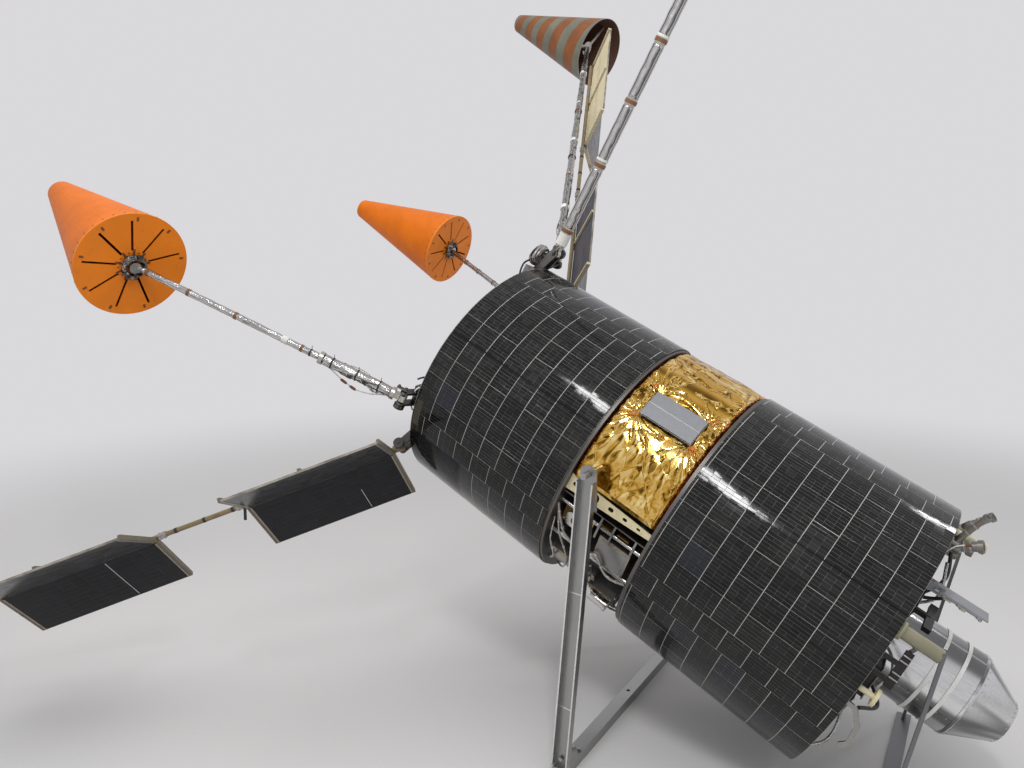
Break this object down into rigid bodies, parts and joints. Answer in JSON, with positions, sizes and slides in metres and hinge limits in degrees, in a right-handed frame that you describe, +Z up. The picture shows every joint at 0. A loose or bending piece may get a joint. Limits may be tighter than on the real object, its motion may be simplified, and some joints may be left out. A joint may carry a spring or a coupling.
{
  "type": "drum satellite with cone antenna booms on a display stand",
  "caption": "Drum-shaped satellite clad in solar cells, with a gold foil waist, cone antennas on booms, folding panel wings, a mast and a tubular end canister, on a metal display stand.",
  "frame": {"origin": "on the floor plane, under the fixing hole in the middle of the stand's front floor beam", "axes": "+Z up, with the hole's bolt leaving downwards; +X level, along the drum's axis towards the canister end; +Y level, across the drum, away from the side with the near panel wing"},
  "size_m": [2.8401, 2.9257, 2.7874],
  "materials": {
    "solar_cell": "gloss",
    "foil": "crumpled gloss",
    "frame_metal": "satin",
    "polished": "polished",
    "cream_paint": "satin",
    "orange_paint": "satin",
    "spiral_paint": "matte",
    "dark_box": "satin",
    "pole_metal": "worn",
    "dark_steel": "satin",
    "steel": "brushed",
    "strap_white": "matte",
    "cable_white": "matte"
  },
  "bodies": {
    "bus": {"bay_boxes": "dark_box", "bay_brackets": "cream_paint", "bay_fittings": "steel", "bay_pipes": "steel", "boom_roots": "steel", "canister": "polished", "canister_straps": "strap_white", "cream_fittings": "cream_paint", "deck_duct": "dark_box", "deck_probe": "frame_metal", "foil_wrap": "foil", "front_beam": "frame_metal", "front_legs": "frame_metal", "hook_arm": "steel", "louvre_plate": "polished", "lower_deck": "frame_metal", "lower_drum": "solar_cell", "mast_root": "steel", "rear_bars": "dark_steel", "rear_floor_bar": "dark_steel", "rim_sensors": "dark_box", "standoffs": "cream_paint", "trunnion_bolts": "steel", "upper_deck": "frame_metal", "upper_drum": "solar_cell", "waist_frame": "frame_metal", "wing_roots": "steel"},
    "boom_near": {"boom_near": "pole_metal", "boom_cable": "cable_white", "cone_near_face": "orange_paint", "cone_near_shell": "orange_paint"},
    "boom_far": {"boom_far": "pole_metal", "cone_far_face": "orange_paint", "cone_far_shell": "orange_paint"},
    "boom_top": {"boom_top": "pole_metal", "cone_top_shell": "spiral_paint"},
    "mast": {"mast": "pole_metal"},
    "wing_near": {"wing_near_spine": "pole_metal", "wing_near_inner": "solar_cell", "wing_near_outer": "solar_cell"},
    "wing_far": {"wing_far_spine": "pole_metal", "wing_far_inner": "solar_cell", "wing_far_outer": "solar_cell"}
  },
  "joints": [
    {"name": "boom_near_fold", "type": "hinge", "parent": "bus", "child": "boom_near", "pos_m": [-0.55759, -0.42996, 1.01826], "axis": [-0.5021, -0.0273, -0.8644], "range_deg": [0, 28]},
    {"name": "boom_far_fold", "type": "hinge", "parent": "bus", "child": "boom_far", "pos_m": [-0.48675, 0.41, 1.1561], "axis": [0.4243, 0.0131, 0.9054], "range_deg": [0, 20]},
    {"name": "boom_top_fold", "type": "hinge", "parent": "bus", "child": "boom_top", "pos_m": [-0.33514, 0.13001, 1.44016], "axis": [0.4046, -0.4654, 0.7872], "range_deg": [0, 56]},
    {"name": "mast_fold", "type": "hinge", "parent": "bus", "child": "mast", "pos_m": [-0.30255, 0.06003, 1.45108], "axis": [0, 1, 0], "range_deg": [0, 88]},
    {"name": "wing_near_fold", "type": "hinge", "parent": "bus", "child": "wing_near", "pos_m": [-0.64349, -0.3465, 0.84018], "axis": [0.3088, -0.7373, 0.6009], "range_deg": [0, 14]},
    {"name": "wing_far_fold", "type": "hinge", "parent": "bus", "child": "wing_far", "pos_m": [-0.4232, 0.34545, 1.28194], "axis": [-0.3187, 0.7169, -0.6201], "range_deg": [0, 65]}
  ]
}
